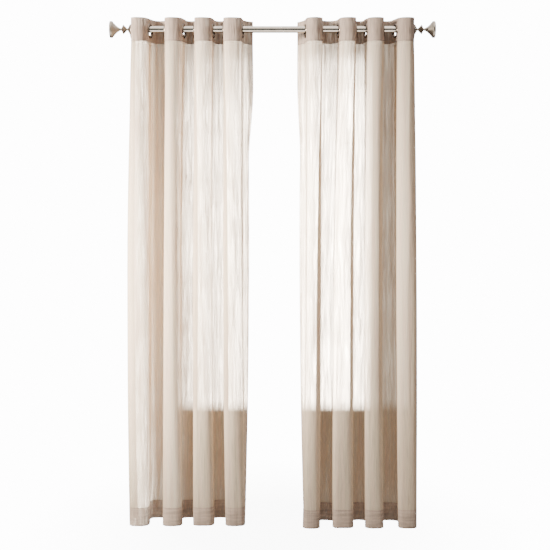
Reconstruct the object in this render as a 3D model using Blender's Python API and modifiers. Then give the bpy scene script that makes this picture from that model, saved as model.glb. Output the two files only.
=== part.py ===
"""Sheer curtain pair on a rod: two eyelet panels, their rings, the rod, its finials and brackets.

The frame has +Z up and the room at -Y. The origin lies on the wall's plane, midway between
the two brackets and level with the rod's axis, so the wall is the plane Y = 0.
Run it with: blender --background --python part.py
"""

import math

import bmesh
import bpy
import numpy as np

MM = 0.001
GAP = 0.3 * MM

# Rod, finials and brackets
ROD_R = 14.0 * MM
ROD_TO_WALL = 90.0 * MM
FINIAL_START = 596.0 * MM
SOCKET_DEPTH = 3.0 * MM
FINIAL_SIDES = 20
ROD_SIDES = 24
BRACKET_X = 552.0 * MM
BRACKET_WIDTH = 12.0 * MM
CRADLE_WALL = 4.0 * MM
CRADLE_STEPS = 12
ARM_TOP = -5.0 * MM
ARM_UNDERSIDE = -15.0 * MM
FRONT_LIP = 3.0 * MM
PLATE_R = 26.0 * MM
PLATE_THICK = 6.0 * MM
PLATE_SIDES = 32

# Finials: radii, and distances from the collar's face on the rod's side
NECK_R = 5.0 * MM
CONE_R = 20.5 * MM
RIM_R = 35.0 * MM
COLLAR_EDGE = 1.5 * MM
NECK_START = 9.5 * MM
NECK_END = 12.5 * MM
DOUBLE_CONE_EDGE = 28.2 * MM
DOUBLE_CONE_END = 36.5 * MM
TRUMPET_START = 37.5 * MM
TRUMPET_END = 73.0 * MM
FINIAL_END = 84.5 * MM
RIM_EASE = 2.0 * MM
FLARE_POWER = 1.6
FLARE_STEPS = 5

# Eyelet rings
RING_SIDES = 16
RING_BORE_R = 21.3 * MM
RING_WAIST_R = 26.0 * MM
RING_FLANGE_R = 30.8 * MM
RING_CROWN = 4.6 * MM
RINGS = 8

# Cloth
FLAT_WIDTH = 1320.0 * MM
EYELET_PITCH = 165.0 * MM
EDGE_WIDTH = (FLAT_WIDTH - (RINGS - 1) * EYELET_PITCH) / 2.0
HEADING_TOP = 44.0 * MM
HEADING_DEPTH = 97.0 * MM
HEADING_THICK = 2.4 * MM
VOILE_THICK = 1.2 * MM
HEM_THICK = 2.4 * MM
HEM_DEPTH = 80.0 * MM
EYELET_FLAT = 31.5 * MM
FLAT_FADES_OVER = 500.0 * MM
HEM_BOTTOM = {"left": -2102.0 * MM, "right": -2112.0 * MM}
EYELET_CUTTER_DEPTH = 20.0 * MM

# The fold table has one row for each eyelet, from left to right. x is where the fold's
# side wall crosses the rod's line, in mm, and turn is the angle between that wall and
# the rod, in degrees: over 90 the folds are pinched at their necks. Each is given at the
# heading, half way down and at the hem.
COLUMNS = ("x_rod", "x_mid", "x_hem", "turn_rod", "turn_mid", "turn_hem")
FOLDS = {
    "left": (
        (-590.0, -614.0, -611.0, 88.0, 94.0, 94.0),
        (-514.0, -517.0, -528.0, 77.0, 77.0, 92.0),
        (-449.0, -455.0, -468.0, 88.0, 92.0, 96.0),
        (-372.5, -389.0, -388.5, 80.0, 82.0, 94.0),
        (-326.0, -329.5, -340.0, 88.0, 103.0, 100.0),
        (-249.0, -256.5, -250.0, 82.0, 87.0, 98.0),
        (-204.5, -201.0, -200.0, 88.0, 103.0, 98.0),
        (-126.0, -128.0, -117.5, 84.0, 80.0, 94.0),
    ),
    "right": (
        (139.0, 143.5, 132.5, 84.0, 80.0, 96.0),
        (208.0, 194.5, 197.0, 88.0, 98.0, 104.0),
        (277.0, 259.0, 259.5, 82.0, 91.0, 104.0),
        (349.0, 340.0, 344.5, 88.0, 98.0, 104.0),
        (391.5, 391.0, 401.0, 80.0, 93.0, 104.0),
        (463.0, 459.0, 470.5, 88.0, 100.0, 104.0),
        (515.0, 524.0, 541.5, 77.0, 92.0, 102.0),
        (590.0, 609.0, 617.0, 88.0, 99.0, 97.0),
    ),
}

# How square the folds' fronts and backs are at the same three levels: 0 is round.
SQUARENESS = (0.0, 0.4, 0.7)

# The turn of each free side edge, in degrees from the rod's line: in the stiff heading,
# then below it, half way down and at the hem.
EDGES = {
    "left": {"first": (98.0, 102.0, 106.0, 112.0), "last": (0.0, 72.0, 66.0, 90.0)},
    "right": {"first": (34.0, 78.0, 66.0, 90.0), "last": (98.0, 102.0, 106.0, 112.0)},
}

# Corners of a square bow: where each starts and how long it is, as shares of the bow
CORNERS = (0.13, 0.59)
CORNER_SHARE = 0.28

# Mesh steps, and the angle above which a turned piece has a sharp edge
SHARP_ANGLE = math.radians(35.0)
WELD_DISTANCE = 0.001 * MM
FINE_STEP = 1.0 * MM
BOW_STEPS_HEADING = 8
BOW_STEPS_PANEL = 8
EDGE_STEPS = 4
HEM_STEP = 2.0 * MM
PANEL_ROWS = (0.0, 0.06, 0.14, 0.24, 0.36, 0.50, 0.64, 0.78, 0.90, 1.0)

# Rounds of fitting a bow to its span, and the small change that each round tries
FIT_ROUNDS = 12
FIT_NUDGE = 1e-5

# Colour, roughness and metallic value of each finish
FINISHES = {
    "brushed_nickel": ((0.55, 0.52, 0.48, 1.0), 0.32, 1.0),
    "voile": ((0.80, 0.74, 0.66, 1.0), 0.85, 0.0),
    "doubled_voile": ((0.68, 0.59, 0.51, 1.0), 0.85, 0.0),
}


def clear_scene():
    for thing in list(bpy.data.objects):
        bpy.data.objects.remove(thing)


def new_collection(name):
    group = bpy.data.collections.new(name)
    bpy.context.scene.collection.children.link(group)
    return group


def plain_material(name):
    material = bpy.data.materials.new(name)
    material.use_nodes = True
    shader = material.node_tree.nodes["Principled BSDF"]
    for socket, value in zip(("Base Color", "Roughness", "Metallic"), FINISHES[name]):
        shader.inputs[socket].default_value = value
    return material


def add_object(name, data, group, material):
    thing = bpy.data.objects.new(name, data)
    group.objects.link(thing)
    if not data.materials:
        data.materials.append(material)
    return thing


def add_cylinder(name, radius, depth, sides, place, turn, group):
    """A primitive cylinder about its own Z, turned and moved into place."""
    bpy.ops.mesh.primitive_cylinder_add(
        vertices=sides, radius=radius, depth=depth, location=place, rotation=turn
    )
    thing = bpy.context.object
    thing.name = name
    for old in list(thing.users_collection):
        old.objects.unlink(thing)
    group.objects.link(thing)
    return thing


def make_guide(thing):
    thing.hide_render = True
    thing.display_type = "WIRE"


def mesh_of(thing):
    """The mesh of a curve or of an object with modifiers, its loose caps welded."""
    shown = thing.evaluated_get(bpy.context.evaluated_depsgraph_get())
    mesh = bpy.data.meshes.new_from_object(shown)
    weld(mesh)
    return mesh


def weld(mesh):
    cage = bmesh.new()
    cage.from_mesh(mesh)
    bmesh.ops.remove_doubles(cage, verts=cage.verts, dist=WELD_DISTANCE)
    cage.to_mesh(mesh)
    cage.free()


def grid_mesh(name, rows):
    """An open sheet through rows of points, with the rows running down it."""
    points = [tuple(p) for row in rows for p in row]
    across = len(rows[0])
    faces = [
        (r * across + c, (r + 1) * across + c, (r + 1) * across + c + 1, r * across + c + 1)
        for r in range(len(rows) - 1)
        for c in range(across - 1)
    ]
    mesh = bpy.data.meshes.new(name)
    mesh.from_pydata(points, [], faces)
    return mesh


def turned_mesh(name, profile, sides, closed):
    """A profile of (radius, height) points, outer side first from the top, turned about Z."""
    points = [(radius, 0.0, height) for radius, height in profile]
    edges = [(i, i + 1) for i in range(len(points) - 1)]
    if closed:
        edges.append((len(points) - 1, 0))
    mesh = bpy.data.meshes.new(name + "_profile")
    mesh.from_pydata(points, edges, [])
    blank = bpy.data.objects.new(name + "_profile", mesh)
    bpy.context.scene.collection.objects.link(blank)
    screw = blank.modifiers.new("Turn", "SCREW")
    screw.axis = "Z"
    screw.steps = sides
    screw.render_steps = sides
    screw.use_merge_vertices = True
    screw.merge_threshold = 0.01 * MM
    turned = mesh_of(blank)
    turned.name = name
    bpy.data.objects.remove(blank)
    turned.shade_smooth()
    turned.set_sharp_from_angle(angle=SHARP_ANGLE)
    return turned


def smooth_step(t):
    t = min(max(t, 0.0), 1.0)
    return t * t * (3.0 - 2.0 * t)


def through_levels(values, depth):
    """The curve through the values at the heading, half way down (0.5) and at the hem (1)."""
    top, middle, bottom = values
    return (
        top * (1.0 - depth) * (1.0 - 2.0 * depth)
        + middle * 4.0 * depth * (1.0 - depth)
        + bottom * depth * (2.0 * depth - 1.0)
    )


def bow_turn(t, wall_a, wall_b, side, square, pinch, lean):
    """The cloth's direction across one bow, from one wall (t = 0) to the next (t = 1).

    A round bow turns evenly. A square one turns at two corners, with a flat between them.
    """
    rounded = (1.0 - np.cos(np.pi * t)) / 2.0
    first, second = (np.clip((t - start) / CORNER_SHARE, 0.0, 1.0) for start in CORNERS)
    squared = (first**2 * (3.0 - 2.0 * first) + second**2 * (3.0 - 2.0 * second)) / 2.0
    ease = (1.0 - square) * rounded + square * squared
    turn = wall_a * (1.0 - ease) - wall_b * ease + pinch * np.sin(2.0 * np.pi * t)
    return side * turn + lean * np.sin(np.pi * t) ** 2


def fitted_bow(length, reach, drift, wall_a, wall_b, side, square):
    """The turns along a bow of cloth of this length that spans reach in X and drift in Y."""
    steps = int(round(length / FINE_STEP))
    t = (np.arange(steps) + 0.5) / steps
    step = length / steps

    def miss(shape):
        turn = bow_turn(t, wall_a, wall_b, side, square, *shape)
        spans = (np.cos(turn).sum() * step, -np.sin(turn).sum() * step)
        return np.array([spans[0] - reach, spans[1] - drift])

    shape = np.zeros(2)
    for _ in range(FIT_ROUNDS):
        error = miss(shape)
        slopes = [(miss(shape + FIT_NUDGE * axis) - error) / FIT_NUDGE for axis in np.eye(2)]
        shape = shape - np.linalg.solve(np.array(slopes).T, error)
    return bow_turn(t, wall_a, wall_b, side, square, *shape), step


def folded_section(hand, depth, flat):
    """Cloth positions and (x, y) points of a panel's section at a depth from 0 to 1.

    flat is the length on each side of an eyelet that its ring holds straight.
    """
    rows = [dict(zip(COLUMNS, row)) for row in FOLDS[hand]]
    xs = [through_levels([r["x_rod"], r["x_mid"], r["x_hem"]], depth) * MM for r in rows]
    walls = [
        math.radians(through_levels([r["turn_rod"], r["turn_mid"], r["turn_hem"]], depth))
        for r in rows
    ]
    square = through_levels(SQUARENESS, depth)
    turns = []
    steps = []
    for i in range(RINGS - 1):
        side = 1.0 if i % 2 == 0 else -1.0
        held_x = flat * (math.cos(walls[i]) + math.cos(walls[i + 1]))
        held_y = flat * side * (math.sin(walls[i]) - math.sin(walls[i + 1]))
        bow, step = fitted_bow(
            EYELET_PITCH - 2.0 * flat,
            xs[i + 1] - xs[i] - held_x,
            held_y,
            walls[i],
            walls[i + 1],
            side,
            square,
        )
        turns += [[side * walls[i]], bow, [-side * walls[i + 1]]]
        steps += [[flat], np.full(len(bow), step), [flat]]
    turns = np.concatenate(turns)
    steps = np.concatenate(steps)
    before = free_edge(hand, "first", depth, walls[0], flat)
    after = free_edge(hand, "last", depth, -walls[-1], flat)
    x0 = xs[0] - (np.cos(before[0]) * before[1]).sum()
    y0 = (np.sin(before[0]) * before[1]).sum()
    turns = np.concatenate([before[0], turns, after[0]])
    steps = np.concatenate([before[1], steps, after[1]])
    s = np.concatenate([[0.0], np.cumsum(steps)])
    x = x0 + np.concatenate([[0.0], np.cumsum(np.cos(turns) * steps)])
    y = y0 - np.concatenate([[0.0], np.cumsum(np.sin(turns) * steps)])
    return s, x, y - ROD_TO_WALL


def free_edge(hand, which, depth, wall, flat):
    """Turns and steps of the cloth outside an end eyelet, in the order of the cloth."""
    in_heading, *levels = EDGES[hand][which]
    stiff = flat / EYELET_FLAT
    final = math.radians(through_levels(levels, depth) + stiff * (in_heading - levels[0]))
    free = EDGE_WIDTH - flat
    count = int(round(free / FINE_STEP))
    t = (np.arange(count) + 0.5) / count
    sign = 1.0 if wall > 0.0 else -1.0
    turns = wall + (sign * final - wall) * np.sin(0.5 * np.pi * t)
    turns = np.concatenate([[wall], turns])
    steps = np.concatenate([[flat], np.full(count, free / count)])
    if which == "first":
        return turns[::-1], steps[::-1]
    return turns, steps


def eyelet_stations():
    """Where the eyelets lie along the flat cloth."""
    return [EDGE_WIDTH + i * EYELET_PITCH for i in range(RINGS)]


def stations(flat, bow_steps):
    """Where the cloth's mesh has its columns: along each bow and along both side edges."""
    eyelets = eyelet_stations()
    runs = [np.linspace(0.0, eyelets[0] - flat, EDGE_STEPS + 1)]
    for a, b in zip(eyelets[:-1], eyelets[1:]):
        runs.append(np.linspace(a + flat, b - flat, bow_steps + 1))
    runs.append(np.linspace(eyelets[-1] + flat, FLAT_WIDTH, EDGE_STEPS + 1))
    places = np.concatenate(runs)
    return places[np.append(True, np.diff(places) > FINE_STEP)]


def section_row(hand, depth, flat, places, z):
    s, x, y = folded_section(hand, depth, flat)
    return np.stack(
        [np.interp(places, s, x), np.interp(places, s, y), np.full(len(places), z)], axis=1
    )


def thicken(thing, thickness):
    modifier = thing.modifiers.new("Thickness", "SOLIDIFY")
    modifier.thickness = thickness
    modifier.offset = 0.0
    return modifier


def ring_places(hand):
    """The centre and the heading's direction at each eyelet."""
    centre_drop = RING_BORE_R * math.cos(math.pi / RING_SIDES) - ROD_R - GAP
    places = []
    for i, row in enumerate(FOLDS[hand]):
        values = dict(zip(COLUMNS, row))
        turn = math.radians(values["turn_rod"]) * (1.0 if i % 2 == 0 else -1.0)
        places.append(((values["x_rod"] * MM, -ROD_TO_WALL, -centre_drop), turn))
    return places


def build_heading(hand, group, cutters, material):
    """The doubled band along the top, cut through for its eyelets."""
    places = stations(EYELET_FLAT, BOW_STEPS_HEADING)
    heights = (HEADING_TOP, HEADING_TOP - HEADING_DEPTH)
    rows = [section_row(hand, 0.0, EYELET_FLAT, places, z) for z in heights]
    heading = add_object(hand + "_heading", grid_mesh(hand + "_heading", rows), group, material)
    thicken(heading, HEADING_THICK)
    hole_r = (RING_WAIST_R + GAP) / math.cos(math.pi / RING_SIDES)
    for i, (centre, turn) in enumerate(ring_places(hand), start=1):
        cutter = add_cylinder(
            f"{hand}_eyelet_cutter_{i}",
            hole_r,
            EYELET_CUTTER_DEPTH,
            RING_SIDES,
            centre,
            (0.0, math.pi / 2.0, ring_heading(turn)),
            cutters,
        )
        make_guide(cutter)
        hole = heading.modifiers.new(f"Eyelet {i}", "BOOLEAN")
        hole.operation = "DIFFERENCE"
        hole.object = cutter


def ring_heading(turn):
    """The turn about Z that lays a ring's axis square to the cloth."""
    return math.atan2(math.cos(turn), math.sin(turn))


def build_panel(hand, group, material):
    """The hanging voile, with its folded hem as a thicker band at the foot."""
    top = HEADING_TOP - HEADING_DEPTH - GAP
    bottom = HEM_BOTTOM[hand]
    hem_top = bottom + HEM_DEPTH
    heights = [top + (hem_top - top) * share for share in PANEL_ROWS]
    heights += [hem_top - HEM_STEP, bottom]
    places = stations(0.0, BOW_STEPS_PANEL)
    rows = []
    for z in heights:
        flat = EYELET_FLAT * (1.0 - smooth_step((top - z) / FLAT_FADES_OVER))
        rows.append(section_row(hand, (top - z) / (top - bottom), flat, places, z))
    panel = add_object(hand + "_panel", grid_mesh(hand + "_panel", rows), group, material)
    hem = panel.vertex_groups.new(name="hem")
    count = len(places)
    hem.add(range((len(heights) - 2) * count, len(heights) * count), 1.0, "REPLACE")
    thickness = thicken(panel, HEM_THICK)
    thickness.vertex_group = hem.name
    thickness.thickness_vertex_group = VOILE_THICK / HEM_THICK


def build_rings(hand, group, material):
    """Turned rings with a waist that the heading sits in."""
    lip = HEADING_THICK / 2.0 + GAP
    profile = (
        (RING_FLANGE_R, lip),
        (RING_WAIST_R, lip),
        (RING_WAIST_R, -lip),
        (RING_FLANGE_R, -lip),
        ((RING_BORE_R + RING_FLANGE_R) / 2.0, -RING_CROWN),
        (RING_BORE_R, 0.0),
        ((RING_BORE_R + RING_FLANGE_R) / 2.0, RING_CROWN),
    )
    mesh = turned_mesh("ring", profile, RING_SIDES, closed=True)
    for i, (centre, turn) in enumerate(ring_places(hand)):
        ring = add_object(f"{hand}_ring_{i + 1}", mesh, group, material)
        ring.location = centre
        ring.rotation_euler = (0.0, math.pi / 2.0, ring_heading(turn))


def build_rod(group, material):
    reach = FINIAL_START + SOCKET_DEPTH - GAP
    place = (0.0, -ROD_TO_WALL, 0.0)
    along_x = (0.0, math.pi / 2.0, 0.0)
    rod = add_cylinder("rod", ROD_R, 2.0 * reach, ROD_SIDES, place, along_x, group)
    rod.data.materials.append(material)
    rod.data.shade_smooth()
    rod.data.set_sharp_from_angle(angle=SHARP_ANGLE)


def build_finials(group, material):
    """Turned ends: a collar over the rod, a double cone and a trumpet with a thick rim."""
    flare = []
    for i in range(FLARE_STEPS + 1):
        share = i / FLARE_STEPS
        radius = NECK_R + (RIM_R - RIM_EASE - NECK_R) * share**FLARE_POWER
        flare.append((radius, TRUMPET_START + (TRUMPET_END - TRUMPET_START) * share))
    outline = [
        (0.0, FINIAL_END),
        (RIM_R - RIM_EASE, FINIAL_END),
        (RIM_R, FINIAL_END - RIM_EASE),
        (RIM_R, TRUMPET_END),
        *reversed(flare),
        (NECK_R, DOUBLE_CONE_END),
        (CONE_R, DOUBLE_CONE_EDGE),
        (NECK_R, NECK_END),
        (NECK_R, NECK_START),
        (CONE_R, COLLAR_EDGE),
        (CONE_R, 0.0),
        (ROD_R + GAP, 0.0),
        (ROD_R + GAP, SOCKET_DEPTH),
        (0.0, SOCKET_DEPTH),
    ]
    mesh = turned_mesh("finial", outline, FINIAL_SIDES, closed=False)
    for name, side in (("finial_left", -1.0), ("finial_right", 1.0)):
        finial = add_object(name, mesh, group, material)
        finial.location = (side * FINIAL_START, -ROD_TO_WALL, 0.0)
        finial.rotation_euler = (0.0, side * math.pi / 2.0, 0.0)


def cradle_outline():
    """Side view of a bracket: (toward the wall, up) points about the rod's axis."""
    inner = ROD_R + GAP
    outer = inner + CRADLE_WALL
    wall = ROD_TO_WALL - PLATE_THICK / 2.0
    angles = [math.pi * i / CRADLE_STEPS for i in range(CRADLE_STEPS + 1)]
    inner_arc = [(inner * math.cos(a), -inner * math.sin(a)) for a in angles]
    meets_arm = math.asin(-ARM_UNDERSIDE / outer)
    outer_arc = []
    for i in range(CRADLE_STEPS + 1):
        a = math.pi - (math.pi - meets_arm) * i / CRADLE_STEPS
        outer_arc.append((outer * math.cos(a), -outer * math.sin(a)))
    back = [(wall, ARM_UNDERSIDE), (wall, ARM_TOP), (outer, ARM_TOP), (outer, 0.0)]
    lip = [(-inner, FRONT_LIP), (-outer, FRONT_LIP)]
    return back + inner_arc + lip + outer_arc


def build_brackets(group, cutters, material):
    """A round wall plate and an arm that ends in a cradle open at its top."""
    for name, side in (("bracket_left", -1.0), ("bracket_right", 1.0)):
        curve = bpy.data.curves.new(name + "_arm", "CURVE")
        curve.dimensions = "2D"
        curve.fill_mode = "BOTH"
        curve.extrude = BRACKET_WIDTH / 2.0
        outline = cradle_outline()
        spline = curve.splines.new("POLY")
        spline.points.add(len(outline) - 1)
        for point, (x, y) in zip(spline.points, outline):
            point.co = (x, y, 0.0, 1.0)
        spline.use_cyclic_u = True
        drawn = bpy.data.objects.new(name + "_arm_outline", curve)
        bpy.context.scene.collection.objects.link(drawn)
        arm = add_object(name + "_arm", mesh_of(drawn), cutters, material)
        arm.location = (side * BRACKET_X, -ROD_TO_WALL, 0.0)
        arm.rotation_euler = (math.pi / 2.0, 0.0, math.pi / 2.0)
        make_guide(arm)
        bpy.data.objects.remove(drawn)
        arm_middle = (ARM_TOP + ARM_UNDERSIDE) / 2.0
        plate_place = (side * BRACKET_X, -PLATE_THICK / 2.0, arm_middle)
        square_to_wall = (math.pi / 2.0, 0.0, 0.0)
        plate = add_cylinder(
            name, PLATE_R, PLATE_THICK, PLATE_SIDES, plate_place, square_to_wall, group
        )
        plate.data.materials.append(material)
        union = plate.modifiers.new("Arm", "BOOLEAN")
        union.operation = "UNION"
        union.object = arm


def main():
    clear_scene()
    group = new_collection("sheer_curtain_pair_on_rod")
    cutters = new_collection("cutters_and_guides")
    nickel = plain_material("brushed_nickel")
    voile = plain_material("voile")
    doubled = plain_material("doubled_voile")
    for hand in ("left", "right"):
        build_heading(hand, group, cutters, doubled)
        build_panel(hand, group, voile)
        build_rings(hand, group, nickel)
    build_rod(group, nickel)
    build_finials(group, nickel)
    build_brackets(group, cutters, nickel)


main()
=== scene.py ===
import math

import bmesh
import bpy
import numpy as np
from mathutils import Matrix, Vector, noise


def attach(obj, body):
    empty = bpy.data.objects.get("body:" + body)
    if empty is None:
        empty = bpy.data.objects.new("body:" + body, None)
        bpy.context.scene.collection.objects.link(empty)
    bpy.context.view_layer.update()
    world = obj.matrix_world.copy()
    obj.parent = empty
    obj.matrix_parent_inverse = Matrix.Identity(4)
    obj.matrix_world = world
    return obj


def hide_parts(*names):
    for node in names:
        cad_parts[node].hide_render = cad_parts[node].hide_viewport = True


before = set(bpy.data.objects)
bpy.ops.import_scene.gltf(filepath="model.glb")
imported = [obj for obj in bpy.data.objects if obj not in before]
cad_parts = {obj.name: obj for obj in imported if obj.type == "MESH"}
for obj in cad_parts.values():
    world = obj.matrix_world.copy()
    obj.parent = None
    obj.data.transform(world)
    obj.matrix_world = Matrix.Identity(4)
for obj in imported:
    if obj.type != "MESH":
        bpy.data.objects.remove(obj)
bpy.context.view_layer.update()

MM = 0.001
GAP = 0.3 * MM

# Rod and finials
ROD_R = 14.0 * MM
ROD_TO_WALL = 90.0 * MM
FINIAL_START = 596.0 * MM
SOCKET_DEPTH = 3.0 * MM
TURNED_SIDES = 72

# Finials: radii, and distances from the collar's face on the rod's side
NECK_R = 5.0 * MM
CONE_R = 20.5 * MM
RIM_R = 35.0 * MM
COLLAR_EDGE = 1.5 * MM
NECK_START = 9.5 * MM
NECK_END = 12.5 * MM
DOUBLE_CONE_EDGE = 28.2 * MM
DOUBLE_CONE_END = 36.5 * MM
TRUMPET_START = 37.5 * MM
TRUMPET_END = 73.0 * MM
FINIAL_END = 84.5 * MM
RIM_EASE = 2.0 * MM
FLARE_POWER = 1.6
FLARE_STEPS = 24
EASED = 0.8 * MM
EASE_STEPS = 6

# Eyelet rings
RING_BORE_R = 21.3 * MM
RING_WAIST_R = 26.0 * MM
RING_FLANGE_R = 30.8 * MM
RING_CROWN = 4.6 * MM
CROWN_STEPS = 28
BLUNT = 0.5
RING_LIP = 1.0 * MM
RING_CAD_SIDES = 16
RINGS = 8

# Cloth
FLAT_WIDTH = 1320.0 * MM
EYELET_PITCH = 165.0 * MM
EDGE_WIDTH = (FLAT_WIDTH - (RINGS - 1) * EYELET_PITCH) / 2.0
HEADING_TOP = 44.0 * MM
HEADING_DEPTH = 97.0 * MM
HEADING_THICK = 1.6 * MM
TUCK = 2.0 * MM
VOILE_THICK = 0.6 * MM
HEM_THICK = 1.2 * MM
HEM_DEPTH = 80.0 * MM
SIDE_HEM = 24.0 * MM
EYELET_FLAT = 31.5 * MM
FLAT_FADES_OVER = 500.0 * MM
HEM_BOTTOM = {"left": -2102.0 * MM, "right": -2112.0 * MM}
FLAP_DROOP = 5.0 * MM
DROOP_FADES_OVER = 400.0 * MM

# The fold table of the solids: x is where each side wall crosses the rod's line, in mm,
# and turn is the angle between that wall and the rod, in degrees.
COLUMNS = ("x_rod", "x_mid", "x_hem", "turn_rod", "turn_mid", "turn_hem")
FOLDS = {
    "left": (
        (-590.0, -614.0, -611.0, 88.0, 94.0, 94.0),
        (-514.0, -517.0, -528.0, 77.0, 77.0, 92.0),
        (-449.0, -455.0, -468.0, 88.0, 92.0, 96.0),
        (-372.5, -389.0, -388.5, 80.0, 82.0, 94.0),
        (-326.0, -329.5, -340.0, 88.0, 103.0, 100.0),
        (-249.0, -256.5, -250.0, 82.0, 87.0, 98.0),
        (-204.5, -201.0, -200.0, 88.0, 103.0, 98.0),
        (-126.0, -128.0, -117.5, 84.0, 80.0, 94.0),
    ),
    "right": (
        (139.0, 143.5, 132.5, 84.0, 80.0, 96.0),
        (208.0, 194.5, 197.0, 88.0, 98.0, 104.0),
        (277.0, 259.0, 259.5, 82.0, 91.0, 104.0),
        (349.0, 340.0, 344.5, 88.0, 98.0, 104.0),
        (391.5, 391.0, 401.0, 80.0, 93.0, 104.0),
        (463.0, 459.0, 470.5, 88.0, 100.0, 104.0),
        (515.0, 524.0, 541.5, 77.0, 92.0, 102.0),
        (590.0, 609.0, 617.0, 88.0, 99.0, 97.0),
    ),
}
SQUARENESS = (0.0, 0.4, 0.7)
EDGES = {
    "left": {"first": (98.0, 102.0, 106.0, 112.0), "last": (0.0, 72.0, 66.0, 90.0)},
    "right": {"first": (34.0, 78.0, 66.0, 90.0), "last": (98.0, 102.0, 106.0, 112.0)},
}

# Corners of a square bow: where each starts and how long it is, as shares of the bow
CORNERS = (0.13, 0.59)
CORNER_SHARE = 0.28

# Mesh steps of the fine cloth
FINE_STEP = 1.0 * MM
PANEL_COLUMNS = 380
PANEL_ROWS = 112
HEM_ROWS = 8
HEADING_COLUMNS = 400
HEADING_ROWS = 20

# Crinkles of the voile: width, length and height of each size, then the long creases
CRINKLES = (
    (11.0 * MM, 300.0 * MM, 0.55 * MM),
    (26.0 * MM, 700.0 * MM, 1.3 * MM),
)
CREASE_WIDTH = 48.0 * MM
CREASE_LENGTH = 1500.0 * MM
CREASE_HEIGHT = 2.2 * MM
SEEDS = {"left": 3.7, "right": 11.2}

# Sewing
STITCH_LENGTH = 3.0 * MM
STITCH_PITCH = 4.2 * MM
STITCH_R = 0.28 * MM
STITCH_INSET = 3.0 * MM
STITCH_SHADE = 1.4 * MM

# Finish of the cloth: lengths are of the weave's repeats, across and down the cloth
CLOTH_MAP = "cloth"
CREAM = (0.85, 0.735, 0.56, 1.0)
ROSY = (0.83, 0.675, 0.53, 1.0)
DOUBLED = (0.56, 0.43, 0.36, 1.0)
VOILE_OPACITY = 0.62
DOUBLE_DENSITY = 0.16
SIDE_HEM_DENSITY = 0.6
THROUGH_SHARE = 0.25
# The cloth looks denser where it turns edge on, in the side walls that hold the eyelets
WALL_DENSITY = 0.2
WALL_FADES = (8.0 * MM, 30.0 * MM)
SLUB = (4.5 * MM, 120.0 * MM)
STREAK = (19.0 * MM, 520.0 * MM)
CRUSH = (15.0 * MM, 210.0 * MM)
WAVE = (70.0 * MM, 110.0 * MM)
WAVE_SIDEWAYS = 9.0 * MM
THREAD = (0.7 * MM, 0.7 * MM)
HEM_GATHER = (85.0 * MM, 13.0 * MM)
HEADING_GATHER = (9.0 * MM, 60.0 * MM)
CLOTH_BUMP = 0.5 * MM
METAL_BUMP = 0.05 * MM

# Floor
FLOOR_R = 1.1
FLOOR_DROP = 12.0 * MM
FLOOR_COVER = 0.3

# The white room's brightness: as seen, and as light from below and above
SEEN_WHITE = 14.0
LIGHT_BELOW = 0.15
LIGHT_ABOVE = 0.6
WARM_LIGHT = (1.0, 0.92, 0.82)
ROOM_LIGHT = (1.0, 0.95, 0.9)
# What the nickel reflects: bright panels overhead and in front, low down
PANEL_LIGHT = 3.4
PANEL_SLOPE = (0.42, 0.62)
WARM_BEHIND = (1.0, 0.85, 0.68)

# Brightness behind the cloth, by the direction that is looked in: low down, at the far left,
# at the far right, and in a patch behind the inner folds from its left side to its right,
# with the patch's middle and half size as slopes, and the width of its soft edge
BEHIND_LOW = 0.25
BEHIND_LEFT = 1.7
BEHIND_FAR_LEFT = 13.0
FAR_LEFT_FADE = (-0.111, -0.122)
BEHIND_RIGHT = 2.1
ABOVE_PATCH = 6.0
BEHIND_PATCH = (24.0, 62.0)
PATCH_FADE = 0.7
PATCH_FADES_FROM = 0.035
PATCH_MIDDLE = (-0.001, -0.068)
PATCH_HALF = (0.086, 0.163)
PATCH_EDGE = 0.006

# Camera, from the photograph's 550 by 550 frame
PHOTO_SIZE = 550.0
CAMERA_PLACE = (10.5 * MM, -4.628, -0.5446)
CAMERA_PITCH = math.radians(3.5)
CAMERA_FOCAL_PIXELS = 1074.0
CAMERA_SHIFT = -0.09
SENSOR = 36.0


class Value:
    """A node's output in an expression: each operator adds its Math node."""

    def __init__(self, finish, socket):
        self.finish = finish
        self.socket = socket

    def maths(self, operation, *terms):
        return self.finish.node(
            "ShaderNodeMath", {"operation": operation}, dict(enumerate(terms))
        )

    def __add__(self, other):
        return self.maths("ADD", self, other)

    def __sub__(self, other):
        return self.maths("SUBTRACT", self, other)

    def __rsub__(self, other):
        return self.maths("SUBTRACT", other, self)

    def __mul__(self, other):
        return self.maths("MULTIPLY", self, other)

    def __truediv__(self, other):
        return self.maths("DIVIDE", self, other)

    def __gt__(self, other):
        return self.maths("GREATER_THAN", self, other)

    def __lt__(self, other):
        return self.maths("LESS_THAN", self, other)

    def __abs__(self):
        return self.maths("ABSOLUTE", self)

    def at_most(self, other):
        return self.maths("MINIMUM", self, other)

    def at_least(self, other):
        return self.maths("MAXIMUM", self, other)

    def spread(self, low, high):
        """The part of a value from low to high, stretched to run from 0 to 1."""
        return ((self - low) * (1.0 / (high - low))).at_least(0.0).at_most(1.0)

    __radd__ = __add__
    __rmul__ = __mul__


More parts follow.
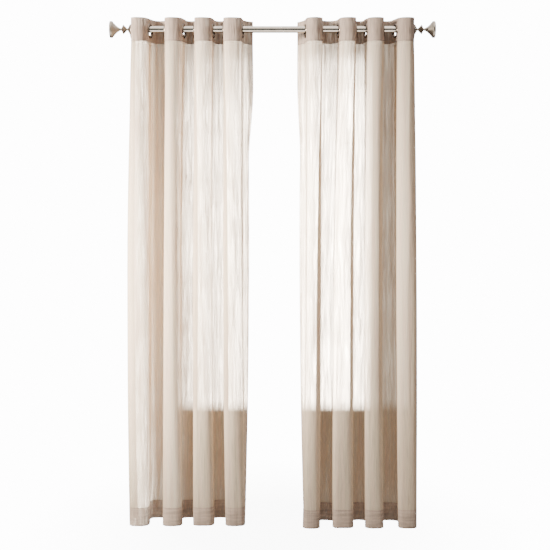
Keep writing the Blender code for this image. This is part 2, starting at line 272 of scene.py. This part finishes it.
class Finish:
    """The nodes of a material or of the world, which all come from one method."""

    def __init__(self, owner):
        owner.use_nodes = True
        self.owner = owner
        self.tree = owner.node_tree
        self.tree.nodes.clear()

    def node(self, kind, settings=None, sockets=None, output=0):
        """Adds a node: its settings first, then its sockets' values or links."""
        made = self.tree.nodes.new(kind)
        for key, value in (settings or {}).items():
            setattr(made, key, value)
        for key, value in (sockets or {}).items():
            if isinstance(value, Value):
                self.tree.links.new(value.socket, made.inputs[key])
            else:
                made.inputs[key].default_value = value
        return Value(self, made.outputs[output])

    def vector(self, x, y, z=0.0):
        return self.node("ShaderNodeCombineXYZ", {}, {0: x, 1: y, 2: z})

    def noise(self, vector, detail=2.0, roughness=0.5):
        sockets = {"Vector": vector, "Scale": 1.0, "Detail": detail, "Roughness": roughness}
        return self.node("ShaderNodeTexNoise", {}, sockets)

    def blend(self, share, first, second):
        """A colour mixed from two others."""
        settings = {"data_type": "RGBA", "blend_type": "MIX"}
        return self.node("ShaderNodeMix", settings, {0: share, 6: first, 7: second}, 2)

    def shade(self, colour, brightness):
        """A colour scaled by a number."""
        return self.node("ShaderNodeVectorMath", {"operation": "SCALE"}, {0: colour, 3: brightness})

    def bump(self, height, distance, strength=1.0):
        sockets = {"Height": height, "Distance": distance, "Strength": strength}
        return self.node("ShaderNodeBump", {}, sockets)

    def place(self, node, axis):
        """One part of a vector output, counted from 0 for its first."""
        return self.node("ShaderNodeSeparateXYZ", {}, {0: node}, axis)

    def end(self, surface, kind="ShaderNodeOutputMaterial"):
        made = self.tree.nodes.new(kind)
        self.tree.links.new(surface.socket, made.inputs["Surface"])
        return self.owner


def new_finish(name):
    return Finish(bpy.data.materials.new(name))


def voile_finish(name, opacity, sewn_double):
    """Crushed voile: sheer, with fine slubs down it, and denser where it is sewn double."""
    finish = new_finish(name)
    flat = finish.node("ShaderNodeUVMap", {"uv_map": CLOTH_MAP})
    across = finish.place(flat, 0)
    up = finish.place(flat, 1)

    def weave(repeat, detail, layer=0.0):
        return finish.noise(finish.vector(across / repeat[0], up / repeat[1], layer), detail)

    across_flat = across
    across = across + (weave(WAVE, 1.0, 3.0) - 0.5) * WAVE_SIDEWAYS
    crush = abs(weave(CRUSH, 2.0, 7.0) - 0.5)
    slubs = weave(SLUB, 3.0)
    streaks = weave(STREAK, 2.0, 5.0)
    threads = weave(THREAD, 1.0)
    gathers = weave(HEADING_GATHER if sewn_double else HEM_GATHER, 2.0, 9.0)
    in_side = abs(across_flat - FLAT_WIDTH / 2.0) > FLAT_WIDTH / 2.0 - SIDE_HEM
    if sewn_double:
        line = abs(up - STITCH_INSET) < STITCH_SHADE
        double = 1.0 - line * 0.0
    else:
        line = abs(up - (HEM_DEPTH - STITCH_INSET)) < STITCH_SHADE
        double = (up < HEM_DEPTH).at_least(in_side * SIDE_HEM_DENSITY)
    colour = finish.blend(streaks.spread(0.35, 0.65), CREAM, ROSY)
    colour = finish.blend(double * (0.8 if sewn_double else 0.7), colour, DOUBLED)
    uneven = double * (gathers - 0.5)
    colour = finish.shade(colour, 1.0 - (slubs - 0.5) * 0.16 - line * 0.25 - uneven * 0.8)
    film = opacity + (slubs - 0.5) * 0.3 + (streaks - 0.5) * 0.4 + (0.09 - crush) * 0.9
    from_wall = finish.node(
        "ShaderNodeMath", {"operation": "PINGPONG"}, {0: across_flat - EDGE_WIDTH, 1: EYELET_PITCH / 2.0}
    )
    film = film + (1.0 - from_wall.spread(*WALL_FADES)) * WALL_DENSITY
    film = (film + double * (0.24 if sewn_double else 0.18) + line * 0.1).at_least(0.2).at_most(0.97)
    height = crush * 6.0 + slubs * 1.6 + threads * 0.12 + uneven * 4.0
    normal = finish.bump(height, CLOTH_BUMP, 0.9)
    sockets = {
        "Base Color": colour,
        "Roughness": 0.82,
        "Specular IOR Level": 0.25,
        "Sheen Weight": 0.2,
        "Sheen Roughness": 0.5,
        "Normal": normal,
    }
    cloth = finish.node("ShaderNodeBsdfPrincipled", {}, sockets)
    glow = finish.node("ShaderNodeBsdfTranslucent", {}, {"Color": colour, "Normal": normal})
    lit = finish.node("ShaderNodeMixShader", {}, {0: THROUGH_SHARE, 1: cloth, 2: glow})
    clear = finish.node("ShaderNodeBsdfTransparent")
    return finish.end(finish.node("ShaderNodeMixShader", {}, {0: film, 1: clear, 2: lit}))


def nickel_finish(name, colour, roughness, grain):
    """Brushed nickel: fine turned scratches, a little uneven in gloss and tone."""
    finish = new_finish(name)
    place = finish.node("ShaderNodeTexCoord", {}, {}, 3)
    x, y, z = (finish.place(place, axis) for axis in range(3))
    along, around = grain
    scratches = finish.noise(finish.vector(x * along, y * around, z * around), 3.0, 0.6)
    clouds = finish.noise(finish.vector(x * 40.0, y * 40.0, z * 40.0))
    dark = tuple(0.8 * part for part in colour)
    sockets = {
        "Base Color": finish.blend(clouds.spread(0.3, 0.7), (*colour, 1.0), (*dark, 1.0)),
        "Metallic": 1.0,
        "Roughness": roughness + (scratches - 0.5) * 0.16,
        "Normal": finish.bump(scratches, METAL_BUMP, 0.5),
    }
    return finish.end(finish.node("ShaderNodeBsdfPrincipled", {}, sockets))


def thread_finish():
    """Spun sewing thread, a shade lighter than the doubled cloth."""
    finish = new_finish("sewing_thread")
    place = finish.node("ShaderNodeTexCoord", {}, {}, 3)
    twist = finish.noise(finish.shade(place, 2500.0), 1.0)
    sockets = {
        "Base Color": finish.blend(twist, (0.74, 0.65, 0.55, 1.0), (0.55, 0.46, 0.38, 1.0)),
        "Roughness": 0.6,
        "Normal": finish.bump(twist, 0.1 * MM),
    }
    return finish.end(finish.node("ShaderNodeBsdfPrincipled", {}, sockets))


def floor_finish():
    """A pale floor that fades into the white room around it."""
    finish = new_finish("pale_floor")
    place = finish.node("ShaderNodeTexCoord", {}, {}, 3)
    away = finish.node("ShaderNodeVectorMath", {"operation": "LENGTH"}, {0: place}, 1)
    fade = (1.0 - away.spread(FLOOR_R * 0.3, FLOOR_R * 0.98)) * FLOOR_COVER
    sockets = {"Base Color": (0.9, 0.9, 0.9, 1.0), "Roughness": 0.9, "Alpha": fade}
    return finish.end(finish.node("ShaderNodeBsdfPrincipled", {}, sockets))


def smooth_step(t):
    t = np.clip(t, 0.0, 1.0)
    return t * t * (3.0 - 2.0 * t)


def through_levels(values, depth):
    """The curve through the values at the heading, half way down (0.5) and at the hem (1)."""
    top, middle, bottom = values
    return (
        top * (1.0 - depth) * (1.0 - 2.0 * depth)
        + middle * 4.0 * depth * (1.0 - depth)
        + bottom * depth * (2.0 * depth - 1.0)
    )


def bow_turn(t, wall_a, wall_b, side, square, pinch, lean):
    """The cloth's direction across one bow, from one wall (t = 0) to the next (t = 1)."""
    rounded = (1.0 - np.cos(np.pi * t)) / 2.0
    first, second = (smooth_step((t - start) / CORNER_SHARE) for start in CORNERS)
    ease = (1.0 - square) * rounded + square * (first + second) / 2.0
    turn = wall_a * (1.0 - ease) - wall_b * ease + pinch * np.sin(2.0 * np.pi * t)
    return side * turn + lean * np.sin(np.pi * t) ** 2


def fitted_bow(length, reach, drift, wall_a, wall_b, side, square):
    """The turns along a bow of cloth of this length that spans reach in X and drift in Y."""
    steps = int(round(length / FINE_STEP))
    t = (np.arange(steps) + 0.5) / steps
    step = length / steps

    def miss(shape):
        turn = bow_turn(t, wall_a, wall_b, side, square, *shape)
        return np.array([np.cos(turn).sum() * step - reach, -np.sin(turn).sum() * step - drift])

    shape = np.zeros(2)
    nudge = 1e-5
    for _ in range(8):
        error = miss(shape)
        slopes = [(miss(shape + nudge * axis) - error) / nudge for axis in np.eye(2)]
        shape = shape - np.linalg.solve(np.array(slopes).T, error)
    return bow_turn(t, wall_a, wall_b, side, square, *shape), step


def free_edge(hand, which, depth, wall, flat):
    """Turns and steps of the cloth outside an end eyelet, in the order of the cloth."""
    in_heading, *levels = EDGES[hand][which]
    stiff = flat / EYELET_FLAT
    final = math.radians(through_levels(levels, depth) + stiff * (in_heading - levels[0]))
    free = EDGE_WIDTH - flat
    count = int(round(free / FINE_STEP))
    t = (np.arange(count) + 0.5) / count
    sign = 1.0 if wall > 0.0 else -1.0
    turns = wall + (sign * final - wall) * np.sin(0.5 * np.pi * t)
    turns = np.concatenate([[wall], turns])
    steps = np.concatenate([[flat], np.full(count, free / count)])
    if which == "first":
        return turns[::-1], steps[::-1]
    return turns, steps


def folded_section(hand, depth, flat):
    """Cloth positions and (x, y) points of a panel's section at a depth from 0 to 1."""
    rows = [dict(zip(COLUMNS, row)) for row in FOLDS[hand]]
    xs = [through_levels([r["x_rod"], r["x_mid"], r["x_hem"]], depth) * MM for r in rows]
    walls = [
        math.radians(through_levels([r["turn_rod"], r["turn_mid"], r["turn_hem"]], depth))
        for r in rows
    ]
    square = through_levels(SQUARENESS, depth)
    turns, steps = free_edge(hand, "first", depth, walls[0], flat)
    x0 = xs[0] - (np.cos(turns) * steps).sum()
    y0 = (np.sin(turns) * steps).sum()
    turns, steps = [turns], [steps]
    for i in range(RINGS - 1):
        side = 1.0 if i % 2 == 0 else -1.0
        bow, step = fitted_bow(
            EYELET_PITCH - 2.0 * flat,
            xs[i + 1] - xs[i] - flat * (math.cos(walls[i]) + math.cos(walls[i + 1])),
            flat * side * (math.sin(walls[i]) - math.sin(walls[i + 1])),
            walls[i],
            walls[i + 1],
            side,
            square,
        )
        turns += [[side * walls[i]], bow, [-side * walls[i + 1]]]
        steps += [[flat], np.full(len(bow), step), [flat]]
    last_turns, last_steps = free_edge(hand, "last", depth, -walls[-1], flat)
    turns = np.concatenate([*turns, last_turns])
    steps = np.concatenate([*steps, last_steps])
    s = np.concatenate([[0.0], np.cumsum(steps)])
    x = x0 + np.concatenate([[0.0], np.cumsum(np.cos(turns) * steps)])
    y = y0 - np.concatenate([[0.0], np.cumsum(np.sin(turns) * steps)])
    return s, x, y - ROD_TO_WALL


def crinkle(hand, s, v):
    """How far the crushed voile stands off its fold, in metres, at a point of the flat cloth."""
    seed = SEEDS[hand]
    off = 0.0
    for width, length, height in CRINKLES:
        off += height * noise.noise(Vector((s / width, v / length, seed)))
        seed += 11.0
    crease = noise.noise(Vector((s / CREASE_WIDTH, v / CREASE_LENGTH, seed)))
    return off + CREASE_HEIGHT * (0.3 - math.sqrt(abs(crease) + 0.002))


def section_at(hand, depth, flat, places):
    """Points and unit normals, toward the room on a front fold, at places along the cloth."""
    s, x, y = folded_section(hand, depth, flat)
    dx, dy = (np.gradient(part, s + np.arange(len(s)) * 1e-9) for part in (x, y))
    size = np.hypot(dx, dy)
    at = [np.interp(places, s, part) for part in (x, y, dy / size, -dx / size)]
    return np.stack(at, axis=1)


def mesh_of(thing):
    """The mesh of an object with its modifiers applied."""
    shown = thing.evaluated_get(bpy.context.evaluated_depsgraph_get())
    return bpy.data.meshes.new_from_object(shown)


def add_piece(name, mesh, material, slot, *nodes):
    """Puts a mesh in the scene as a piece that rides on the part and stands for its nodes."""
    piece = bpy.data.objects.new(name, mesh)
    bpy.context.scene.collection.objects.link(piece)
    mesh.materials.clear()
    mesh.materials.append(material)
    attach(piece, "root")
    if nodes:
        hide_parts(*nodes)
    return piece


def grid_mesh(name, points):
    """An open sheet through a grid of points, its rows running down it."""
    down, across = points.shape[:2]
    faces = [
        (r * across + c, (r + 1) * across + c, (r + 1) * across + c + 1, r * across + c + 1)
        for r in range(down - 1)
        for c in range(across - 1)
    ]
    mesh = bpy.data.meshes.new(name)
    mesh.from_pydata(points.reshape(-1, 3).tolist(), [], faces)
    return mesh


def map_flat_cloth(mesh, flat):
    """Gives each corner its place on the flat cloth: across it, and up from its lower edge."""
    layer = mesh.uv_layers.new(name=CLOTH_MAP)
    corners = np.zeros(len(mesh.loops), dtype=np.int32)
    mesh.loops.foreach_get("vertex_index", corners)
    layer.uv.foreach_set("vector", flat[corners].astype(np.float32).ravel())


def droop(hand, s, below):
    """How far the loose corner beside the opening hangs down, in metres."""
    loose = s - (FLAT_WIDTH - EDGE_WIDTH) if hand == "left" else EDGE_WIDTH - s
    share = np.clip(loose / EDGE_WIDTH, 0.0, 1.0) ** 2
    return FLAP_DROOP * share * (1.0 - smooth_step(below / DROOP_FADES_OVER))


def panel_surface(hand):
    """The panel's points, normals and flat cloth places, on a fine grid."""
    top = HEADING_TOP - HEADING_DEPTH
    bottom = HEM_BOTTOM[hand]
    hem_top = bottom + HEM_DEPTH
    hem_step = HEM_DEPTH / HEM_ROWS
    heights = np.append(
        np.linspace(top + TUCK, hem_top, PANEL_ROWS),
        hem_top - hem_step * (np.arange(HEM_ROWS) + 1.0),
    )
    places = np.linspace(0.0, FLAT_WIDTH, PANEL_COLUMNS + 1)
    points = np.zeros((len(heights), len(places), 3))
    normals = np.zeros_like(points)
    flat = np.zeros((len(heights), len(places), 2))
    for row, z in enumerate(heights):
        down = max(top - z, 0.0)
        held = EYELET_FLAT * (1.0 - smooth_step(down / FLAT_FADES_OVER))
        x, y, across, out = section_at(hand, down / (top - bottom), held, places).T
        off = np.array([crinkle(hand, s, HEADING_TOP - z) for s in places])
        points[row] = np.stack(
            [x + off * across, y + off * out, z - droop(hand, places, down)], axis=1
        )
        normals[row] = np.stack([across, out, np.zeros(len(places))], axis=1)
        flat[row] = np.stack([places, np.full(len(places), z - bottom)], axis=1)
    return points, normals, flat


def make_panel(hand, surface, material):
    """The hanging voile, one thin closed sheet with a thicker hem."""
    points, normals, flat = surface
    mesh = grid_mesh(hand + "_voile", points)
    map_flat_cloth(mesh, flat.reshape(-1, 2))
    mesh.shade_smooth()
    panel = add_piece(hand + "_voile", mesh, material, "voile", hand + "_panel")
    hem = panel.vertex_groups.new(name="hem")
    count = points.shape[1]
    first = (PANEL_ROWS - 1) * count
    hem.add(range(first, len(mesh.vertices)), 1.0, "REPLACE")
    thick = panel.modifiers.new("Thickness", "SOLIDIFY")
    thick.thickness = HEM_THICK
    thick.offset = 0.0
    thick.vertex_group = "hem"
    thick.thickness_vertex_group = VOILE_THICK / HEM_THICK
    return panel


def eyelet_stations():
    return [EDGE_WIDTH + i * EYELET_PITCH for i in range(RINGS)]


def ring_drop():
    """How far the rings' centres hang below the rod's axis."""
    return RING_BORE_R * math.cos(math.pi / RING_CAD_SIDES) - ROD_R - GAP


def cut_strip(hand):
    """The heading laid out flat, with its eyelet holes cut, as a mesh across X and up Z."""
    top, bottom = HEADING_TOP, HEADING_TOP - HEADING_DEPTH
    places = np.linspace(0.0, FLAT_WIDTH, HEADING_COLUMNS + 1)
    heights = np.linspace(top, bottom, HEADING_ROWS + 1)
    grid = np.stack(np.meshgrid(places, heights), axis=2)
    points = np.stack([grid[..., 0], np.zeros(grid.shape[:2]), grid[..., 1]], axis=2)
    strip = bpy.data.objects.new("strip", grid_mesh("strip", points))
    bpy.context.scene.collection.objects.link(strip)
    thick = strip.modifiers.new("Thickness", "SOLIDIFY")
    thick.thickness = HEADING_THICK
    thick.offset = 0.0
    tools = bmesh.new()
    for place in eyelet_stations():
        made = bmesh.ops.create_cone(
            tools,
            cap_ends=True,
            segments=TURNED_SIDES,
            radius1=RING_WAIST_R,
            radius2=RING_WAIST_R,
            depth=10.0 * HEADING_THICK,
        )
        turn = Matrix.Translation((place, 0.0, -ring_drop())) @ Matrix.Rotation(math.pi / 2.0, 4, "X")
        bmesh.ops.transform(tools, matrix=turn, verts=made["verts"])
    punch_mesh = bpy.data.meshes.new("punch")
    tools.to_mesh(punch_mesh)
    tools.free()
    punch = bpy.data.objects.new("punch", punch_mesh)
    bpy.context.scene.collection.objects.link(punch)
    cut = strip.modifiers.new("Eyelets", "BOOLEAN")
    cut.operation = "DIFFERENCE"
    cut.object = punch
    mesh = mesh_of(strip)
    bpy.data.objects.remove(strip)
    bpy.data.objects.remove(punch)
    return mesh


def make_heading(hand, material):
    """The top of the panel folded double: a flat strip, punched and hung in the folds."""
    mesh = cut_strip(hand)
    places = np.zeros(len(mesh.vertices) * 3)
    mesh.vertices.foreach_get("co", places)
    s, depth, z = places.reshape(-1, 3).T
    x, y, across, out = section_at(hand, 0.0, EYELET_FLAT, s).T
    nearest = np.min([np.hypot(s - at, z + ring_drop()) for at in eyelet_stations()], axis=0)
    loose = smooth_step((nearest - RING_FLANGE_R) / (15.0 * MM))
    off = loose * np.array([crinkle(hand, a, HEADING_TOP - b) for a, b in zip(s, z)]) - depth
    below = np.zeros(len(s))
    hung = np.stack([x + off * across, y + off * out, z - droop(hand, s, below)], axis=1)
    mesh.vertices.foreach_set("co", hung.ravel())
    bottom = HEADING_TOP - HEADING_DEPTH
    map_flat_cloth(mesh, np.stack([s, z - bottom], axis=1))
    mesh.shade_smooth()
    mesh.set_sharp_from_angle(angle=math.radians(50))
    name = hand + "_heading_band"
    return add_piece(name, mesh, material, "doubled_voile", hand + "_heading")


def turned_mesh(name, profile, closed):
    """A profile of (radius, height) points, outer side first from the top, turned about Z."""
    points = [(radius, 0.0, height) for radius, height in profile]
    edges = [(i, i + 1) for i in range(len(points) - 1)]
    if closed:
        edges.append((len(points) - 1, 0))
    mesh = bpy.data.meshes.new(name + "_profile")
    mesh.from_pydata(points, edges, [])
    blank = bpy.data.objects.new(name + "_profile", mesh)
    bpy.context.scene.collection.objects.link(blank)
    screw = blank.modifiers.new("Turn", "SCREW")
    screw.axis = "Z"
    screw.steps = TURNED_SIDES
    screw.render_steps = TURNED_SIDES
    screw.use_merge_vertices = True
    screw.merge_threshold = 0.01 * MM
    turned = mesh_of(blank)
    bpy.data.objects.remove(blank)
    turned.name = name
    turned.shade_smooth()
    turned.set_sharp_from_angle(angle=math.radians(38))
    return turned


def arc(centre, size, start, end, steps):
    """Points on an ellipse's arc, in (radius, height)."""
    angles = [math.radians(start + (end - start) * i / steps) for i in range(steps + 1)]
    return [(centre[0] + size[0] * math.cos(a), centre[1] + size[1] * math.sin(a)) for a in angles]


def ring_profile():
    """A half round crown, blunt toward the bore, and the waist that the cloth sits in."""
    middle = (RING_BORE_R + RING_FLANGE_R) / 2.0
    half = (RING_FLANGE_R - RING_BORE_R) / 2.0
    start = math.asin(RING_LIP / RING_CROWN)
    crown = []
    for i in range(CROWN_STEPS + 1):
        angle = -start - (2.0 * math.pi - 2.0 * start) * i / CROWN_STEPS
        out, up = math.cos(angle), math.sin(angle)
        if out < 0.0:
            out, up = (math.copysign(abs(part) ** BLUNT, part) for part in (out, up))
        crown.append((middle + half * out, RING_CROWN * up))
    return [(RING_WAIST_R, RING_LIP), (RING_WAIST_R, -RING_LIP), *crown]


def make_rings(hand, material):
    """The eyelet rings, each turned to lie square to the cloth that it holds."""
    for i, row in enumerate(FOLDS[hand]):
        values = dict(zip(COLUMNS, row))
        turn = math.radians(values["turn_rod"]) * (1.0 if i % 2 == 0 else -1.0)
        ring = add_piece(
            f"{hand}_eyelet_{i + 1}",
            turned_mesh("eyelet", ring_profile(), closed=True),
            material,
            "ring_nickel",
            f"{hand}_ring_{i + 1}",
        )
        ring.location = (values["x_rod"] * MM, -ROD_TO_WALL, -ring_drop())
        ring.rotation_euler = (0.0, math.pi / 2.0, math.atan2(math.cos(turn), math.sin(turn)))


def make_rod(material):
    reach = FINIAL_START + SOCKET_DEPTH - GAP
    edge = 0.6 * MM
    profile = [
        (0.0, reach),
        (ROD_R - edge, reach),
        (ROD_R, reach - edge),
        *[(ROD_R, reach * (1.0 - i / 20.0)) for i in range(1, 40)],
        (ROD_R, edge - reach),
        (ROD_R - edge, -reach),
        (0.0, -reach),
    ]
    rod = add_piece("long_rod", turned_mesh("long_rod", profile, False), material, "rod_nickel", "rod")
    rod.location = (0.0, -ROD_TO_WALL, 0.0)
    rod.rotation_euler = (0.0, math.pi / 2.0, 0.0)


def finial_profile():
    """From the thick rim down the trumpet, over the double cone, to the collar's socket."""
    inside = RIM_R - RIM_EASE
    easing = (RIM_EASE, RIM_EASE)
    trumpet = []
    for i in range(FLARE_STEPS, -1, -1):
        share = i / FLARE_STEPS
        height = TRUMPET_START + (TRUMPET_END - TRUMPET_START) * share
        trumpet.append((NECK_R + (inside - NECK_R) * share**FLARE_POWER, height))
    return [
        (0.0, FINIAL_END),
        *reversed(arc((inside, FINIAL_END - RIM_EASE), easing, 0.0, 90.0, EASE_STEPS)),
        *reversed(arc((inside, TRUMPET_END + RIM_EASE), easing, -90.0, 0.0, EASE_STEPS)),
        *trumpet,
        (NECK_R, DOUBLE_CONE_END),
        (CONE_R - EASED, DOUBLE_CONE_EDGE + EASED),
        (CONE_R, DOUBLE_CONE_EDGE),
        (CONE_R - EASED, DOUBLE_CONE_EDGE - EASED),
        (NECK_R, NECK_END),
        (NECK_R, NECK_START),
        (CONE_R - EASED / 2.0, COLLAR_EDGE),
        (CONE_R, COLLAR_EDGE - EASED / 2.0),
        (CONE_R, 0.0),
        (ROD_R + GAP, 0.0),
        (ROD_R + GAP, SOCKET_DEPTH),
        (0.0, SOCKET_DEPTH),
    ]


def make_finials(material):
    for name, side in (("left", -1.0), ("right", 1.0)):
        mesh = turned_mesh("finial", finial_profile(), closed=False)
        piece = add_piece(name + "_trumpet_finial", mesh, material, "rod_nickel", "finial_" + name)
        piece.location = (side * FINIAL_START, -ROD_TO_WALL, 0.0)
        piece.rotation_euler = (0.0, side * math.pi / 2.0, 0.0)


def make_brackets(material):
    """The brackets' own solids, with their edges eased."""
    for name in ("left", "right"):
        mesh = bpy.data.objects["bracket_" + name].data.copy()
        cage = bmesh.new()
        cage.from_mesh(mesh)
        bmesh.ops.remove_doubles(cage, verts=cage.verts, dist=0.001 * MM)
        bmesh.ops.dissolve_limit(
            cage, angle_limit=math.radians(1), verts=cage.verts, edges=cage.edges
        )
        cage.to_mesh(mesh)
        cage.free()
        mesh.shade_smooth()
        piece = add_piece(
            name + "_wall_bracket", mesh, material, "bracket_nickel", "bracket_" + name
        )
        ease = piece.modifiers.new("Eased edges", "BEVEL")
        ease.width = 0.6 * MM
        ease.segments = 2
        ease.limit_method = "ANGLE"
        ease.angle_limit = math.radians(40)


def stitches(points, normals, along, lift):
    """Short tapered stitches as joined points and faces: middles, normals and directions."""
    shares = (-0.5, -0.3, 0.3, 0.5)
    girths = (0.35, 1.0, 1.0, 0.35)
    sides = [(1.0, 0.0), (0.0, 1.0), (-1.0, 0.0), (0.0, -1.0)]
    verts, faces = [], []
    for point, normal, run in zip(points, normals, along):
        across = np.cross(run, normal)
        base = len(verts)
        for share, girth in zip(shares, girths):
            centre = point + run * share * STITCH_LENGTH + normal * lift
            for out, up in sides:
                verts.append(centre + (across * out + normal * up) * STITCH_R * girth)
        for ring in range(len(shares) - 1):
            for k in range(4):
                a, b = base + ring * 4 + k, base + ring * 4 + (k + 1) % 4
                faces.append((a, a + 4, b + 4, b))
        faces.append((base, base + 1, base + 2, base + 3))
        last = base + 4 * (len(shares) - 1)
        faces.append((last + 3, last + 2, last + 1, last))
    return verts, faces


def make_stitching(hand, surface, material):
    """The lockstitch along the top of the hem, on the room side and on the back."""
    points, normals, flat = surface
    row = PANEL_ROWS + int(round(STITCH_INSET / (HEM_DEPTH / HEM_ROWS)))
    verts, faces = [], []
    places = np.arange(STITCH_PITCH, FLAT_WIDTH - STITCH_PITCH, STITCH_PITCH)
    line = np.stack([np.interp(places, flat[row, :, 0], points[row, :, k]) for k in range(3)], axis=1)
    out = np.stack([np.interp(places, flat[row, :, 0], normals[row, :, k]) for k in range(3)], axis=1)
    run = np.stack([-out[:, 1], out[:, 0], np.zeros(len(out))], axis=1)
    for side in (1.0, -1.0):
        more, squares = stitches(line, out * side, run, HEM_THICK / 2.0)
        faces += [tuple(corner + len(verts) for corner in square) for square in squares]
        verts += more
    mesh = bpy.data.meshes.new(hand + "_hem_stitching")
    mesh.from_pydata([tuple(v) for v in verts], [], faces)
    mesh.validate()
    return add_piece(hand + "_hem_stitching", mesh, material, "doubled_voile")


def light_the_room():
    """A white room that is graded as a light, and dimmer as seen through the cloth."""
    sky = Finish(bpy.data.worlds.new("white_room"))
    place = sky.node("ShaderNodeTexCoord")
    x, y, z = (sky.place(place, axis) for axis in range(3))
    ahead = y.at_least(0.05)
    side, rise = x / ahead, z / ahead
    inside = []
    for slope, middle, half in zip((side, rise), PATCH_MIDDLE, PATCH_HALF):
        inside.append(abs(slope - middle).spread(half + PATCH_EDGE, half - PATCH_EDGE))
    left_edge = PATCH_MIDDLE[0] - PATCH_HALF[0]
    left = side.spread(left_edge + PATCH_EDGE, left_edge - PATCH_EDGE)
    low_edge = PATCH_MIDDLE[1] - PATCH_HALF[1]
    high = rise.spread(low_edge - PATCH_EDGE, low_edge + PATCH_EDGE)
    low, far_right = BEHIND_LOW, BEHIND_RIGHT
    left_side = BEHIND_LEFT + side.spread(*FAR_LEFT_FADE) * (BEHIND_FAR_LEFT - BEHIND_LEFT)
    behind = low + left * (left_side - low) + (1.0 - left) * high * (far_right - low)
    start, end = BEHIND_PATCH
    patch = start + side.spread(-PATCH_HALF[0], PATCH_HALF[0]) * (end - start)
    patch = patch * (1.0 - PATCH_FADE * rise.spread(PATCH_FADES_FROM, PATCH_FADES_FROM + 0.06))
    behind = behind + inside[0] * inside[1] * (patch - far_right)
    high_edge = PATCH_MIDDLE[1] + PATCH_HALF[1]
    over = rise.spread(high_edge - PATCH_EDGE, high_edge + PATCH_EDGE)
    behind = behind + inside[0] * over * (ABOVE_PATCH - far_right)
    light = LIGHT_BELOW + z.spread(-0.5, 0.6) * (LIGHT_ABOVE - LIGHT_BELOW)
    panels = abs(z).spread(*PANEL_SLOPE) * (z > 0.0).at_least((y * -1.0).spread(-0.1, 0.1))
    shiny = sky.node("ShaderNodeLightPath", {}, {}, "Is Glossy Ray")
    light = light + shiny * (LIGHT_BELOW + panels * PANEL_LIGHT - light)
    from_camera = sky.node("ShaderNodeLightPath")
    behind_cloth = sky.node("ShaderNodeLightPath", {}, {}, "Transparent Depth") > 1.5
    seen = SEEN_WHITE + behind_cloth * (behind - SEEN_WHITE)
    strength = light + from_camera * (seen - light)
    colour = sky.blend(from_camera, (*ROOM_LIGHT, 1.0), (1.0, 1.0, 1.0, 1.0))
    colour = sky.blend(from_camera * behind_cloth, colour, (*WARM_BEHIND, 1.0))
    glow = sky.node("ShaderNodeBackground", {}, {"Color": colour, "Strength": strength})
    bpy.context.scene.world = sky.end(glow, "ShaderNodeOutputWorld")


def add_lamp(name, place, target, size, power, spread):
    """A warm lamp with a soft box: spread is the angle of its light, in degrees."""
    lamp = bpy.data.lights.new(name, "AREA")
    lamp.shape = "RECTANGLE"
    lamp.size, lamp.size_y = size
    lamp.energy = power
    lamp.color = WARM_LIGHT
    lamp.spread = math.radians(spread)
    thing = bpy.data.objects.new(name, lamp)
    bpy.context.scene.collection.objects.link(thing)
    thing.location = place
    aim = Vector(target) - Vector(place)
    thing.rotation_euler = aim.to_track_quat("-Z", "Y").to_euler()
    thing.visible_camera = False
    return thing


def add_camera():
    lens = bpy.data.cameras.new("camera")
    lens.sensor_width = SENSOR
    lens.lens = CAMERA_FOCAL_PIXELS * SENSOR / PHOTO_SIZE
    lens.shift_y = CAMERA_SHIFT
    camera = bpy.data.objects.new("camera", lens)
    bpy.context.scene.collection.objects.link(camera)
    camera.location = CAMERA_PLACE
    camera.rotation_euler = (math.pi / 2.0 - CAMERA_PITCH, 0.0, 0.0)
    bpy.context.scene.camera = camera


def make_floor():
    bpy.ops.mesh.primitive_circle_add(vertices=96, radius=FLOOR_R, fill_type="NGON")
    floor = bpy.context.object
    floor.name = "floor"
    floor.location = (0.0, -ROD_TO_WALL, HEM_BOTTOM["right"] - FLOOR_DROP)
    floor.data.materials.append(floor_finish())


def make_cloth():
    voile = voile_finish("crushed_voile", VOILE_OPACITY, False)
    doubled = voile_finish("doubled_crushed_voile", VOILE_OPACITY, True)
    thread = thread_finish()
    for hand in ("left", "right"):
        surface = panel_surface(hand)
        panel = make_panel(hand, surface, voile)
        heading = make_heading(hand, doubled)
        stitching = make_stitching(hand, surface, thread)


def main():
    add_camera()
    light_the_room()
    add_lamp("key", (-2.4, -1.6, 0.3), (0.0, -0.1, -0.7), (0.9, 0.9), 39.0, 48.0)
    add_lamp("side", (-1.45, -1.0, -1.25), (-0.75, -0.1, -1.25), (0.3, 1.3), 22.0, 64.0)
    make_floor()
    # The rings are nickel like the rod, but their colour is darkened to a dark brown as painted shade.
    ring_nickel = nickel_finish("ring_nickel", (0.19, 0.15, 0.12), 0.26, (500.0, 500.0))
    rod_nickel = nickel_finish("rod_nickel", (0.5, 0.45, 0.39), 0.2, (9.0, 900.0))
    # The finials are the rod's nickel and fill its slot, but this copy is darker: the darker colour is
    # painted shade.
    finial_nickel_painted_shade = nickel_finish("finial_nickel_painted_shade", (0.33, 0.29, 0.24), 0.38, (900.0, 9.0))
    bracket_nickel = nickel_finish("bracket_nickel", (0.52, 0.49, 0.45), 0.36, (300.0, 40.0))
    for hand in ("left", "right"):
        make_rings(hand, ring_nickel)
    make_rod(rod_nickel)
    make_finials(finial_nickel_painted_shade)
    make_brackets(bracket_nickel)
    make_cloth()


main()
